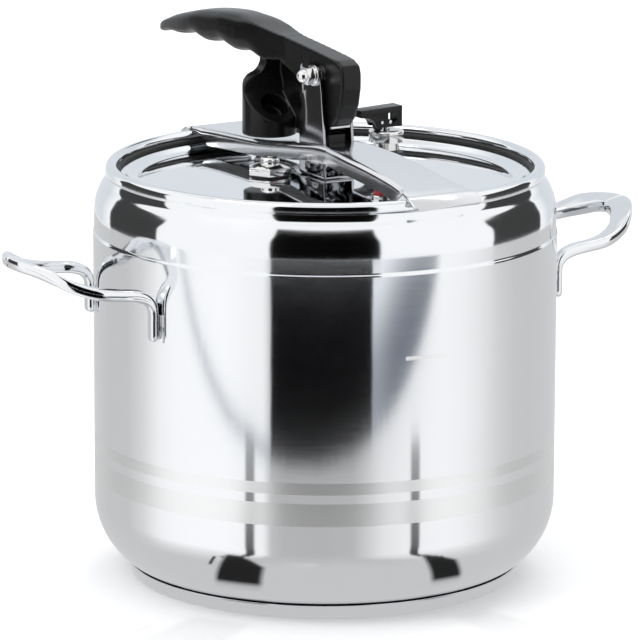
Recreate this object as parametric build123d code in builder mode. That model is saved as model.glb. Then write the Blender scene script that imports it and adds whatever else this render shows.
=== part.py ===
from build123d import *
from math import cos, radians, sin, sqrt
import os

# Lever-closed pressure canner with an inside lid. Millimetres, +Z up.
# Origin: centre of the base underside. +Y: lever grip. +X: across the lever.

os.makedirs("parts", exist_ok=True)

# ---- pot
wall_r = 110.0            # outside radius of the pot wall
sheet = 0.8               # pot sheet thickness
corner_r = 37.4           # large lower corner
corner_z = 38.0
heel_r = 15.2             # small turn into the flat bottom
floor_z = 5.0             # underside of the drawn shell
step_z = 166.0            # fine step under the shoulder
upper_r = 109.5           # radius above the step
shoulder_z = 176.0
collar_r = 104.0          # outside radius of the rim collar
collar_z = 192.2
rim_z = 195.5             # centre height of the rolled rim
rim_roll = 2.9            # outside radius of the roll
rim_mid_r = collar_r - rim_roll
base_foot_r = 92.6
base_top_r = 94.6
base_top_z = 6.8

# ---- side handles
handle_turn = -3.65       # handle axis against +X, degrees
leg_y = 35.0              # half distance between the legs
bar_w = 6.0
bar_t = 3.8
leg_x = 107.0
leg_foot_z = 129.0
handle_tip_r = 164.3
pad_t = 0.9               # weld pad between each leg and the wall

# ---- lid
lid_top = 191.5
lid_t = 1.2
lid_flat_r = 90.0
lid_edge_r = 100.2
gasket_r = 102.9
gasket_top = 195.2
gasket_bottom = 188.9

# ---- bridge
bridge_t = 1.4
bridge_end = 101.0
flange_end = 92.0
flange_h = 8.0

# ---- fork and pivot
ear_in = 7.0              # inner face of each ear
ear_t = 1.4
pivot_y = -3.5
pivot_z = 240.5
pivot_r = 2.5
pad_top = 212.5
cam_r = 25.95             # cam arc radius
cam_dy = 2.8              # cam arc centre against the pivot
cam_dz = -2.0
head_half = 5.5           # half thickness of the lever head

# ---- valves on the lid
relief_x = 53.8
relief_y = 32.5
safety_x = -22.5
safety_y = 13.5
plug_x = -3.9
plug_y = -57.0


def polar(cx, cz, r, deg):
    return (cx + r * cos(radians(deg)), cz + r * sin(radians(deg)))


def bridge_top_points(lift):
    """Side profile of the bridge's upper face, as (y, z)."""
    pts = [(-101.0, 200.2), (-95.0, 201.5), (-80.0, 203.9), (-60.0, 206.4)]
    pts += [(-40.0, 208.0), (-15.0, 209.0), (10.0, 206.3), (33.0, 203.9)]
    pts += [(45.0, 203.0), (62.0, 202.1), (80.0, 201.1), (101.0, 200.1)]
    return [(y, z + lift) for y, z in pts]


# ---- pot_body: drawn steel shell with a rolled rim
heel_cx = 85.8
heel_cz = floor_z + heel_r
corner_cx = wall_r - corner_r
inner_up = upper_r - sheet
with BuildPart() as pot_body:
    with BuildSketch(Plane.XZ):
        with BuildLine():
            Line((0, floor_z), (heel_cx, floor_z))
            CenterArc((heel_cx, heel_cz), heel_r, -90, 36.6)
            p1 = polar(heel_cx, heel_cz, heel_r, -53.4)
            p2 = polar(corner_cx, corner_z, corner_r, -53.4)
            Line(p1, p2)
            CenterArc((corner_cx, corner_z), corner_r, -53.4, 53.4)
            Line((wall_r, corner_z), (wall_r, step_z))
            Line((wall_r, step_z), (upper_r, step_z + 1.2))
            Line((upper_r, step_z + 1.2), (upper_r, shoulder_z))
            Spline((upper_r, shoulder_z), (108.3, 183.0), (106.4, 187.3), (104.5, 190.3),
                   (collar_r, collar_z), tangents=((0, 1), (0, 1)))
            Line((collar_r, collar_z), (collar_r, rim_z))
            CenterArc((rim_mid_r, rim_z), rim_roll, 0, 180)
            Line((rim_mid_r - rim_roll, rim_z), (rim_mid_r - rim_roll + sheet, rim_z))
            CenterArc((rim_mid_r, rim_z), rim_roll - sheet, 0, 180)
            Line((collar_r - sheet, rim_z), (collar_r - sheet, collar_z))
            Spline((inner_up, shoulder_z), (107.5, 182.7), (105.7, 186.8), (103.8, 189.8),
                   (collar_r - sheet, collar_z), tangents=((0, 1), (0, 1)))
            Line((inner_up, shoulder_z), (inner_up, step_z + 1.0))
            Line((inner_up, step_z + 1.0), (wall_r - sheet, step_z - 0.2))
            Line((wall_r - sheet, step_z - 0.2), (wall_r - sheet, corner_z))
            CenterArc((corner_cx, corner_z), corner_r - sheet, -53.4, 53.4)
            p3 = polar(heel_cx, heel_cz, heel_r - sheet, -53.4)
            p4 = polar(corner_cx, corner_z, corner_r - sheet, -53.4)
            Line(p3, p4)
            CenterArc((heel_cx, heel_cz), heel_r - sheet, -90, 36.6)
            Line((heel_cx, floor_z + sheet), (0, floor_z + sheet))
            Line((0, floor_z + sheet), (0, floor_z))
        make_face()
    revolve(axis=Axis.Z)
pot_body.part.label = "pot_body"
export_step(pot_body.part, "parts/pot_body.step")

# ---- base_core: heat-spreading disc sealed between shell and cap
with BuildPart() as base_core:
    with BuildSketch(Plane.XY.offset(sheet)):
        Circle(91.6)
    extrude(amount=floor_z - sheet)
    fillet(base_core.edges().group_by(Axis.Z)[0], 0.8)
base_core.part.label = "base_core"
export_step(base_core.part, "parts/base_core.step")

# ---- base_cap: magnetic steel cup under the pot
with BuildPart() as base_cap:
    with BuildSketch(Plane.XZ):
        with BuildLine():
            Polyline((0, 0), (base_foot_r - 1.2, 0))
            ThreePointArc((base_foot_r - 1.2, 0), (base_foot_r - 0.2, 0.5), (base_foot_r + 0.35, 1.5))
            Polyline((base_foot_r + 0.35, 1.5), (base_top_r, base_top_z))
            Polyline((base_top_r, base_top_z), (base_top_r - sheet, base_top_z))
            Polyline((base_top_r - sheet, base_top_z), (base_foot_r - 0.3, sheet), (0, sheet), (0, 0))
        make_face()
    revolve(axis=Axis.Z)
base_cap.part.label = "base_cap"
export_step(base_cap.part, "parts/base_cap.step")


# ---- side handles: one bent bar each, cut back to the wall
def build_handle(turn):
    half = leg_y + bar_w / 2
    inner = half - bar_w
    h = bar_t / 2
    with BuildPart() as bar:
        with BuildSketch(Plane.XZ.offset(-60)):
            with BuildLine():
                Line((leg_x - h, leg_foot_z), (leg_x - h, 143.0))
                Spline((leg_x - h, 143.0), (109.4, 151.2), (119.0, 154.0), (134.0, 155.8),
                       (145.0, 159.4), (155.0, 165.2), (165.5, 167.6))
                Line((165.5, 167.6), (165.5, 163.6))
                Spline((leg_x + h, 143.0), (111.8, 148.0), (120.0, 150.0), (135.2, 152.0),
                       (146.8, 155.8), (157.0, 161.6), (165.5, 163.6))
                Polyline((leg_x + h, 143.0), (leg_x + h, leg_foot_z), (leg_x - h, leg_foot_z))
            make_face()
        extrude(amount=120)
        with BuildSketch(Plane.XY.offset(leg_foot_z - 5)):
            with BuildLine():
                Line((90, -half), (122, -half))
                Spline((122, -half), (146.0, -31.7), (159.0, -17.0), (handle_tip_r, 0), (159.0, 17.0),
                       (146.0, 31.7), (122, half))
                Polyline((122, half), (90, half), (90, inner), (118, inner))
                Spline((118, -inner), (138.0, -25.6), (150.0, -12.5), (154.3, 0), (150.0, 12.5),
                       (138.0, 25.6), (118, inner))
                Polyline((118, -inner), (90, -inner), (90, -half))
            make_face()
        extrude(amount=60, mode=Mode.INTERSECT)
        fillet(bar.edges(), 1.3)
        with Locations((0, 0, 100)):
            Cylinder(wall_r + pad_t, 90, align=(Align.CENTER, Align.CENTER, Align.MIN), mode=Mode.SUBTRACT)
    return bar.part.rotate(Axis.Z, turn)


with BuildPart() as handle_right:
    add(build_handle(handle_turn))
handle_right.part.label = "handle_right"
export_step(handle_right.part, "parts/handle_right.step")

with BuildPart() as handle_left:
    add(build_handle(handle_turn + 180))
handle_left.part.label = "handle_left"
export_step(handle_left.part, "parts/handle_left.step")

# ---- weld_pads: thin plates behind the legs, spot-welded to the wall
with BuildPart() as weld_pads:
    for turn in (handle_turn, handle_turn + 180):
        with BuildSketch(Plane.XY.offset(leg_foot_z - 0.6).rotated((0, 0, turn))):
            for side in (-1, 1):
                with Locations((leg_x, side * leg_y)):
                    Rectangle(20.0, bar_w + 1.2)
        extrude(amount=13.0)
    with BuildSketch(Plane.XY.offset(100)):
        Circle(wall_r + pad_t)
    extrude(amount=60, mode=Mode.INTERSECT)
    with BuildSketch(Plane.XY.offset(100)):
        Circle(wall_r)
    extrude(amount=60, mode=Mode.SUBTRACT)
weld_pads.part.label = "weld_pads"
export_step(weld_pads.part, "parts/weld_pads.step")

# ---- bridge: spring-steel channel across the mouth
def top_z(y):
    pts = bridge_top_points(0)
    for (y0, z0), (y1, z1) in zip(pts[:-1], pts[1:]):
        if y0 <= y <= y1:
            return z0 + (z1 - z0) * (y - y0) / (y1 - y0)
    return 0.0


def top_side_edge(edge):
    p = edge.position_at(0.5)
    return abs(p.Z - top_z(p.Y)) < 0.6 and abs(p.X) > 11 and abs(p.Y) < 95


def plan_outline(inset):
    for side in (1, -1):
        for end in (1, -1):
            Spline((side * (12.5 - inset), end * 20), (side * (14.4 - inset), end * 42),
                   (side * (14.8 - inset), end * 80), (side * (17.0 - inset), end * bridge_end))
        Line((side * (12.5 - inset), -20), (side * (12.5 - inset), 20))
    for end in (1, -1):
        Line((17.0 - inset, end * bridge_end), (inset - 17.0, end * bridge_end))


with BuildPart() as channel_core:
    with BuildSketch(Plane.YZ.offset(-20)):
        with BuildLine():
            Spline(*bridge_top_points(-bridge_t))
            Polyline((101.0, 200.1 - bridge_t), (101.0, 185), (-101.0, 185), (-101.0, 200.2 - bridge_t))
        make_face()
    extrude(amount=40)
    with BuildSketch(Plane.XY.offset(180)):
        with BuildLine():
            plan_outline(bridge_t)
        make_face()
    extrude(amount=60, mode=Mode.INTERSECT)

with BuildPart() as bridge:
    with BuildSketch(Plane.YZ.offset(-20)):
        with BuildLine():
            Spline(*bridge_top_points(0))
            Line((101.0, 200.1), (101.0, 200.1 - bridge_t))
            Line((101.0, 200.1 - bridge_t), (flange_end, 200.5 - bridge_t))
            Line((flange_end, 200.5 - bridge_t), (flange_end - 3.0, 200.7 - flange_h))
            Spline((-flange_end + 3.0, 202.4 - flange_h), (-60.0, 206.4 - flange_h),
                   (-15.0, 209.0 - flange_h), (10.0, 206.3 - flange_h), (45.0, 203.0 - flange_h),
                   (flange_end - 3.0, 200.7 - flange_h))
            Line((-flange_end + 3.0, 202.4 - flange_h), (-flange_end, 202.0 - bridge_t))
            Line((-flange_end, 202.0 - bridge_t), (-101.0, 200.2 - bridge_t))
            Line((-101.0, 200.2 - bridge_t), (-101.0, 200.2))
        make_face()
    extrude(amount=40)
    with BuildSketch(Plane.XY.offset(180)):
        with BuildLine():
            plan_outline(0)
        make_face()
    extrude(amount=60, mode=Mode.INTERSECT)
    fillet(bridge.edges().filter_by(top_side_edge), 2.6)
    add(channel_core.part, mode=Mode.SUBTRACT)
    for end in (-1, 1):
        with BuildSketch(Plane.YZ.offset(-18.2)):
            Polygon((end * 101.0, 200.1), (end * 102.6, 200.0), (end * 109.6, 195.8),
                    (end * 109.0, 194.7), (end * 102.3, 198.6), (end * 101.0, 198.7), align=None)
        extrude(amount=36.4)
    for side in (-1, 1):
        with Locations((side * (ear_in + ear_t / 2), -1.0, 205)):
            Box(ear_t + 0.6, 24.0, 30, mode=Mode.SUBTRACT)
    for y in (-5.5, 4.0):
        with Locations((0, y, 205)):
            Cylinder(1.5, 30, mode=Mode.SUBTRACT)
bridge.part.label = "bridge"
export_step(bridge.part, "parts/bridge.step")

# ---- wear_pad: block on the bridge that takes the cam
with BuildPart() as wear_pad:
    with BuildSketch(Plane.YZ.offset(-5.3)):
        with BuildLine():
            Spline(*bridge_top_points(0.02))
            Polyline((101.0, 200.12), (101.0, 240), (-101.0, 240), (-101.0, 200.22))
        make_face()
    extrude(amount=10.6)
    with BuildSketch(Plane.XY.offset(200)):
        with Locations((0, -1.0)):
            RectangleRounded(10.6, 19.0, 1.5)
    extrude(amount=pad_top - 200, mode=Mode.INTERSECT)
    for y in (-5.5, 4.0):
        with Locations((0, y, 205)):
            Cylinder(1.5, 30, mode=Mode.SUBTRACT)
wear_pad.part.label = "wear_pad"
export_step(wear_pad.part, "parts/wear_pad.step")

# ---- pad_rivets: two rivets holding the pad
with BuildPart() as pad_rivets:
    for y in (-5.5, 4.0):
        with Locations((0, y, 204.2)):
            Cylinder(1.46, 7.2, align=(Align.CENTER, Align.CENTER, Align.MIN))
        with Locations((0, y, 203.0)):
            Cylinder(2.6, 1.2, align=(Align.CENTER, Align.CENTER, Align.MIN))
pad_rivets.part.label = "pad_rivets"
export_step(pad_rivets.part, "parts/pad_rivets.step")

# ---- lid_disc: flat steel disc, edge raised inside the gasket
fork_rivets = [(x, y) for x in (-3.8, 3.8) for y in (-7.0, 5.0)]
with BuildPart() as lid_disc:
    with BuildSketch(Plane.XZ):
        with BuildLine():
            Line((0, lid_top), (lid_flat_r, lid_top))
            Spline((lid_flat_r, lid_top), (96.0, lid_top + 1.1), tangents=((1, 0), (1, 0)))
            Polyline((96.0, lid_top + 1.1), (lid_edge_r, lid_top + 1.1), (lid_edge_r, lid_top - 0.1),
                     (96.0, lid_top - 0.1))
            Spline((lid_flat_r, lid_top - lid_t), (96.0, lid_top - 0.1), tangents=((1, 0), (1, 0)))
            Polyline((lid_flat_r, lid_top - lid_t), (0, lid_top - lid_t), (0, lid_top))
        make_face()
    revolve(axis=Axis.Z)
    with Locations((relief_x, relief_y, lid_top), (safety_x, safety_y, lid_top)):
        Cylinder(5.1, 10, mode=Mode.SUBTRACT)
    with Locations((plug_x, plug_y, lid_top)):
        Cylinder(3.1, 10, mode=Mode.SUBTRACT)
    with Locations([(x, y, lid_top) for x, y in fork_rivets]):
        Cylinder(1.6, 10, mode=Mode.SUBTRACT)
lid_disc.part.label = "lid_disc"
export_step(lid_disc.part, "parts/lid_disc.step")

# ---- lid_gasket: black ring gripping the lid's edge
with BuildPart() as lid_gasket:
    with BuildSketch(Plane.XZ):
        slot_low = lid_top - 0.14
        slot_high = lid_top + 1.14
        Polygon((98.4, gasket_top), (102.3, gasket_top), (gasket_r, 194.6), (gasket_r, 189.5),
                (102.3, gasket_bottom), (98.0, gasket_bottom), (97.0, 189.8), (97.0, slot_low),
                (100.3, slot_low), (100.3, slot_high), (97.0, slot_high), (97.0, 194.0), align=None)
    revolve(axis=Axis.Z)
lid_gasket.part.label = "lid_gasket"
export_step(lid_gasket.part, "parts/lid_gasket.step")

# ---- fork: folded steel yoke riveted to the lid, ears up through the bridge
ear_out = ear_in + ear_t
with BuildPart() as fork:
    with BuildSketch(Plane.XZ.offset(-14)):
        with Locations((0, lid_top)):
            Rectangle(2 * ear_out, 60, align=(Align.CENTER, Align.MIN))
            fillet(vertices().group_by(Axis.Y)[0], 2.0)
        with Locations((0, lid_top + ear_t)):
            Rectangle(2 * ear_in, 60, align=(Align.CENTER, Align.MIN), mode=Mode.SUBTRACT)
    extrude(amount=30)
    with BuildSketch(Plane.YZ.offset(-12)):
        Polygon((-12.5, 191), (-12.5, 206), (-11.9, 211), (-9.6, 232.8), (-7.0, 244.8),
                (9.2, 244.8), (10.0, 228), (10.2, 191), align=None)
        fillet(vertices().filter_by(lambda v: v.Y > 240), 2.6)
    extrude(amount=24, mode=Mode.INTERSECT)
    with Locations(Location((0, pivot_y, pivot_z), (0, 90, 0))):
        Cylinder(pivot_r + 0.1, 30, mode=Mode.SUBTRACT)
    with Locations([(x, y, lid_top) for x, y in fork_rivets]):
        Cylinder(1.6, 10, mode=Mode.SUBTRACT)
fork.part.label = "fork"
export_step(fork.part, "parts/fork.step")

# ---- fork_rivets: four rivets through fork, lid and doubler
with BuildPart() as fork_rivet_set:
    for x, y in fork_rivets:
        with Locations((x, y, lid_top - lid_t - 1.6)):
            Cylinder(1.56, lid_t + 1.6 + ear_t, align=(Align.CENTER, Align.CENTER, Align.MIN))
        with Locations((x, y, lid_top + ear_t), (x, y, lid_top - lid_t - 2.6)):
            Cylinder(2.6, 1.0, align=(Align.CENTER, Align.CENTER, Align.MIN))
fork_rivet_set.part.label = "fork_rivets"
export_step(fork_rivet_set.part, "parts/fork_rivets.step")

# ---- fork_doubler: plate under the lid
with BuildPart() as fork_doubler:
    with BuildSketch(Plane.XY.offset(lid_top - lid_t - 1.6)):
        with Locations((0, -1.0)):
            RectangleRounded(22, 26, 3)
        with Locations(fork_rivets):
            Circle(1.6, mode=Mode.SUBTRACT)
    extrude(amount=1.6)
fork_doubler.part.label = "fork_doubler"
export_step(fork_doubler.part, "parts/fork_doubler.step")

# ---- pivot bolt, washers and acorn nut
pivot_plane = Plane(origin=(0, pivot_y, pivot_z), x_dir=(0, 1, 0), z_dir=(1, 0, 0))
with BuildPart() as pivot_bolt:
    with BuildSketch(pivot_plane.offset(-14.5)):
        Circle(pivot_r)
    extrude(amount=14.5 + ear_out + 1.0)
    with BuildSketch(pivot_plane.offset(ear_out + 1.0)):
        RegularPolygon(4.6, 6)
    extrude(amount=3.4)
    fillet(pivot_bolt.edges().group_by(Axis.X)[-1], 0.5)
pivot_bolt.part.label = "pivot_bolt"
export_step(pivot_bolt.part, "parts/pivot_bolt.step")

with BuildPart() as pivot_washers:
    for start, thick, radius in ((-9.4, 1.0, 5.0), (-10.3, 0.86, 4.2), (ear_out, 1.0, 5.0)):
        with BuildSketch(pivot_plane.offset(start)):
            Circle(radius)
            Circle(pivot_r + 0.1, mode=Mode.SUBTRACT)
        extrude(amount=thick)
pivot_washers.part.label = "pivot_washers"
export_step(pivot_washers.part, "parts/pivot_washers.step")

with BuildPart() as acorn_nut:
    with BuildSketch(pivot_plane.offset(-13.9)):
        RegularPolygon(4.5, 6)
    extrude(amount=3.58)
    fillet(acorn_nut.edges().group_by(Axis.X)[0], 0.4)
    with BuildSketch(Plane.XZ.offset(-pivot_y)):
        with BuildLine():
            CenterArc((-14.2, pivot_z), 3.3, 90, 90)
            Polyline((-17.5, pivot_z), (-12.0, pivot_z), (-12.0, pivot_z + 3.3), (-14.2, pivot_z + 3.3))
        make_face()
    revolve(axis=Axis((0, pivot_y, pivot_z), (1, 0, 0)))
    with BuildSketch(pivot_plane.offset(-14.8)):
        Circle(pivot_r + 0.05)
    extrude(amount=6, mode=Mode.SUBTRACT)
acorn_nut.part.label = "acorn_nut"
export_step(acorn_nut.part, "parts/acorn_nut.step")

# ---- lever: black moulded grip, head slab, web, neck and hollow boss
boss_x = -7.5
boss_y = 39.7
boss_r = 13.0
boss_bottom = 205.6


def grip_outline():
    top = [(156.0, 239.8), (153.5, 242.6), (145.0, 246.2), (136.0, 249.2), (120.0, 253.4),
           (105.0, 256.5), (90.0, 258.3), (75.0, 259.2), (62.0, 258.6), (48.0, 256.4), (30.0, 254.0)]
    low = [(30.0, 243.0), (41.0, 241.0), (49.0, 241.2), (58.5, 242.9), (68.0, 241.2), (76.5, 241.6),
           (85.0, 243.6), (94.5, 242.0), (103.0, 241.8), (112.5, 243.8), (123.0, 241.8),
           (133.0, 241.0), (143.0, 240.6), (151.0, 238.9), (156.0, 239.8)]
    return top, low


with BuildPart() as grip:
    with BuildSketch(Plane.YZ.offset(-13)):
        with BuildLine():
            upper, lower = grip_outline()
            Spline(*upper)
            Line(upper[-1], lower[0])
            Spline(*lower)
        make_face()
    extrude(amount=26)
    with BuildSketch(Plane.XY.offset(230)):
        with BuildLine():
            Spline((5.5, 29.0), (7.6, 44.0), (9.8, 62.0), (10.6, 90.0), (10.0, 120.0), (8.2, 140.0),
                   (4.6, 152.0), (0.0, 155.8), (-4.6, 152.0), (-8.2, 140.0), (-10.0, 120.0),
                   (-10.6, 90.0), (-9.8, 62.0), (-7.6, 44.0), (-5.5, 29.0))
            Line((-5.5, 29.0), (5.5, 29.0))
        make_face()
    extrude(amount=40, mode=Mode.INTERSECT)

with BuildPart() as boss:
    with BuildSketch(Plane.XY.offset(boss_bottom)):
        with Locations((boss_x, boss_y)):
            Circle(boss_r)
    extrude(amount=38)
    with BuildSketch(Plane.XZ.offset(-60)):
        with BuildLine():
            Line((-20.6, 200), (-20.6, 224.0))
            Spline((-20.6, 224.0), (-18.4, 230.2), (-12.0, 233.6), (-5.5, 240.0),
                   tangents=((0, 1), (0.25, 1)))
            Polyline((-5.5, 240.0), (-5.5, 246), (5.5, 246), (5.5, 200), (-20.6, 200))
        make_face()
    extrude(amount=60, mode=Mode.INTERSECT)
    with BuildSketch(Plane.YZ.offset(-30)):
        Polygon((10, 198.4), (42.6, 226.1), (46.0, 234.0), (46.0, 262), (10, 262), align=None)
        fillet(vertices().filter_by(lambda v: 226 < v.Z < 235 and v.Y > 40), 3.0)
    extrude(amount=60, mode=Mode.SUBTRACT)
    with Locations(Location((boss_x + 0.8, 35.8, 220.4), (40.4, 0, 0))):
        Cylinder(6.6, 16, mode=Mode.SUBTRACT)

with BuildPart() as lever:
    with BuildSketch(Plane.YZ.offset(-head_half)):
        Polygon((-10.0, 250.0), (-18.0, 249.1), (-22.6, 247.0), (-24.0, 243.0), (-23.9, 236.0),
                (-22.2, 228.0), (-19.0, 221.5), (-15.0, 217.2), (4.0, 217.2), (8.0, 220.0),
                (9.5, 233.0), (17.7, 236.2), (38.8, 243.2), (50.0, 243.2), (50.0, 256.0),
                (30.0, 253.9), (5.0, 251.6), align=None)
    extrude(amount=2 * head_half)
    fillet(lever.edges().filter_by(lambda e: e.center().Y < -15), 1.4)
    with BuildSketch(Plane.YZ.offset(2.5)):
        Polygon((9.0, 214.0), (12.0, 208.6), (28.0, 208.6), (36.0, 210.0), (50.0, 222.0),
                (50.0, 246.0), (8.0, 240.0), align=None)
    extrude(amount=3.0)
    with BuildSketch(Plane.YZ.offset(1.2)):
        Polygon((11.0, 228.6), (11.0, 212.0), (12.0, 208.6), (28.0, 208.6), (36.0, 212.0),
                (40.0, 221.5), (42.0, 228.6), align=None)
    extrude(amount=2.0)
    add(grip.part)
    add(boss.part)
    with Locations(Location((0, pivot_y, pivot_z), (0, 90, 0))):
        Cylinder(4.0, 30, mode=Mode.SUBTRACT)
lever.part.label = "lever"
export_step(lever.part, "parts/lever.step")

# ---- cam_plate: steel shoe under the head, rolling on the wear pad
with BuildPart() as cam_plate:
    with BuildSketch(Plane.YZ.offset(-5.2)):
        with Locations((pivot_y + cam_dy, pivot_z + cam_dz)):
            Circle(cam_r)
        with Locations((pivot_y - 3.2, pivot_z - 26.0)):
            Rectangle(14.6, 5.4, mode=Mode.INTERSECT)
    extrude(amount=10.4)
cam_plate.part.label = "cam_plate"
export_step(cam_plate.part, "parts/cam_plate.step")

# ---- lever_bush: sleeve round the pivot bolt
with BuildPart() as lever_bush:
    with BuildSketch(pivot_plane.offset(-6.6)):
        Circle(3.96)
        Circle(pivot_r + 0.05, mode=Mode.SUBTRACT)
    extrude(amount=13.2)
lever_bush.part.label = "lever_bush"
export_step(lever_bush.part, "parts/lever_bush.step")

# ---- relief valve: body, gasket, nut, stem, spring, lug, pin, lever
relief_seat = lid_top + 0.8
wide_z = 197.2
body_top = 203.1
pin_x = relief_x - 4.9
pin_z = 207.5
with BuildPart() as relief_body:
    with BuildSketch(Plane.XZ):
        Polygon((2.2, 184.0), (4.0, 184.0), (4.0, relief_seat), (6.2, relief_seat), (6.2, wide_z),
                (8.5, wide_z), (8.5, body_top - 0.6), (7.9, body_top), (1.75, body_top),
                (1.75, 200.8), (3.9, 200.8), (3.9, 193.4), (2.2, 193.4), align=None)
    revolve(axis=Axis.Z)
relief_body.part.position = (relief_x, relief_y, 0)
relief_body.part.label = "relief_body"
export_step(relief_body.part, "parts/relief_body.step")

with BuildPart() as relief_gasket:
    with BuildSketch(Plane.XY.offset(lid_top)):
        with Locations((relief_x, relief_y)):
            Circle(8.2)
            Circle(4.6, mode=Mode.SUBTRACT)
    extrude(amount=0.8)
relief_gasket.part.label = "relief_gasket"
export_step(relief_gasket.part, "parts/relief_gasket.step")

with BuildPart() as valve_nuts:
    for x, y in ((relief_x, relief_y), (safety_x, safety_y)):
        with BuildSketch(Plane.XY.offset(lid_top - lid_t - 4.5)):
            with Locations((x, y)):
                RegularPolygon(7.5, 6)
                Circle(4.06, mode=Mode.SUBTRACT)
        extrude(amount=4.5)
valve_nuts.part.label = "valve_nuts"
export_step(valve_nuts.part, "parts/valve_nuts.step")

with BuildPart() as relief_stem:
    with Locations((relief_x, relief_y, 193.5)):
        Cylinder(1.6, 14.7, align=(Align.CENTER, Align.CENTER, Align.MIN))
        Cylinder(3.4, 1.0, align=(Align.CENTER, Align.CENTER, Align.MIN))
    with Locations(Location((relief_x, relief_y, 207.3), (90, 0, 0))):
        Cylinder(0.8, 8.0)
relief_stem.part.label = "relief_stem"
export_step(relief_stem.part, "parts/relief_stem.step")

with BuildPart() as relief_spring:
    with BuildLine(Plane((relief_x, relief_y, 194.9))):
        coil = Helix(pitch=1.15, height=5.2, radius=2.7)
    with BuildSketch(Plane(origin=coil @ 0, z_dir=coil % 0)):
        Circle(0.3)
    sweep(path=coil, is_frenet=True)
relief_spring.part.label = "relief_spring"
export_step(relief_spring.part, "parts/relief_spring.step")

with BuildPart() as fulcrum_lug:
    with BuildSketch(Plane.XZ.offset(-relief_y - 1.5)):
        with Locations((pin_x, body_top)):
            Rectangle(4.4, pin_z - body_top + 2.0, align=(Align.CENTER, Align.MIN))
        fillet(vertices().group_by(Axis.Z)[-1], 1.6)
        with Locations((pin_x, pin_z)):
            Circle(0.8, mode=Mode.SUBTRACT)
    extrude(amount=3.0)
fulcrum_lug.part.label = "fulcrum_lug"
export_step(fulcrum_lug.part, "parts/fulcrum_lug.step")

with BuildPart() as fulcrum_pin:
    with Locations(Location((pin_x, relief_y, pin_z), (90, 0, 0))):
        Cylinder(0.78, 9.0)
fulcrum_pin.part.label = "fulcrum_pin"
export_step(fulcrum_pin.part, "parts/fulcrum_pin.step")

with BuildPart() as release_lever:
    with BuildSketch(Plane.XZ.offset(-relief_y - 4.2)):
        with BuildLine():
            Polyline((relief_x + 6.4, 204.9), (relief_x + 6.4, 214.9), (relief_x - 16.6, 214.0),
                     (relief_x - 16.9, 210.6), (relief_x - 13.4, 210.2))
            Spline((relief_x - 13.4, 210.2), (relief_x - 10.6, 209.2), (relief_x - 8.4, 206.4),
                   tangents=((1, -0.1), (0.3, -1)))
            Polyline((relief_x - 8.4, 206.4), (relief_x - 7.6, 205.0), (relief_x + 6.4, 204.9))
        make_face()
        with Locations((pin_x, pin_z)):
            Circle(0.84, mode=Mode.SUBTRACT)
        with Locations((relief_x + 1.6, 209.05)):
            Rectangle(6.0, 5.5, mode=Mode.SUBTRACT)
    extrude(amount=8.4)
    with Locations((relief_x - 2.0, relief_y, 208.4)):
        Box(13.4, 5.4, 7.4, mode=Mode.SUBTRACT)
release_lever.part.label = "release_lever"
export_step(release_lever.part, "parts/release_lever.step")

# ---- safety valve: hexagon body, plunger, spring, gasket
dome_top = 200.2
with BuildPart() as safety_body:
    with BuildSketch(Plane.XY.offset(relief_seat)):
        with Locations((safety_x, safety_y)):
            RegularPolygon(11.2, 6)
    extrude(amount=4.9)
    with BuildSketch(Plane.XZ.offset(-safety_y)):
        with Locations((safety_x, relief_seat)):
            Polygon((0, 0), (12, 0), (12, 3.0), (6.0, 4.9), (0, 4.9), align=None)
    revolve(axis=Axis((safety_x, safety_y, 0), (0, 0, 1)), mode=Mode.INTERSECT)
    with Locations((safety_x, safety_y, 184.5)):
        Cylinder(4.0, relief_seat - 184.5, align=(Align.CENTER, Align.CENTER, Align.MIN))
    with Locations((safety_x, safety_y, relief_seat + 4.8)):
        Cylinder(4.5, dome_top - relief_seat - 4.8, align=(Align.CENTER, Align.CENTER, Align.MIN))
    fillet(safety_body.edges().group_by(Axis.Z)[-1], 1.6)
    with Locations((safety_x, safety_y, 200.0)):
        Cylinder(1.3, 40, mode=Mode.SUBTRACT)
    with Locations((safety_x, safety_y, 194.0)):
        Cylinder(2.9, 9.4, mode=Mode.SUBTRACT)
safety_body.part.label = "safety_body"
export_step(safety_body.part, "parts/safety_body.step")

with BuildPart() as safety_gasket:
    with BuildSketch(Plane.XY.offset(lid_top)):
        with Locations((safety_x, safety_y)):
            Circle(9.2)
            Circle(4.6, mode=Mode.SUBTRACT)
    extrude(amount=0.8)
safety_gasket.part.label = "safety_gasket"
export_step(safety_gasket.part, "parts/safety_gasket.step")

with BuildPart() as safety_plunger:
    with Locations((safety_x, safety_y, 189.6)):
        Cylinder(1.22, dome_top + 0.5 - 189.6, align=(Align.CENTER, Align.CENTER, Align.MIN))
        Cylinder(2.6, 1.2, align=(Align.CENTER, Align.CENTER, Align.MIN))
safety_plunger.part.label = "safety_plunger"
export_step(safety_plunger.part, "parts/safety_plunger.step")

with BuildPart() as safety_spring:
    with BuildLine(Plane((safety_x, safety_y, 191.2))):
        turns = Helix(pitch=1.2, height=6.9, radius=2.1)
    with BuildSketch(Plane(origin=turns @ 0, z_dir=turns % 0)):
        Circle(0.28)
    sweep(path=turns, is_frenet=True)
safety_spring.part.label = "safety_spring"
export_step(safety_spring.part, "parts/safety_spring.step")

# ---- burst_plug: red overpressure plug in a steel eyelet
with BuildPart() as plug_eyelet:
    with BuildSketch(Plane.XZ):
        Polygon((2.1, lid_top - lid_t - 1.0), (4.2, lid_top - lid_t - 1.0), (4.2, lid_top - lid_t),
                (3.0, lid_top - lid_t), (3.0, lid_top), (5.2, lid_top), (4.9, lid_top + 1.1),
                (2.1, lid_top + 1.1), align=None)
    revolve(axis=Axis.Z)
plug_eyelet.part.position = (plug_x, plug_y, 0)
plug_eyelet.part.label = "plug_eyelet"
export_step(plug_eyelet.part, "parts/plug_eyelet.step")

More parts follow.
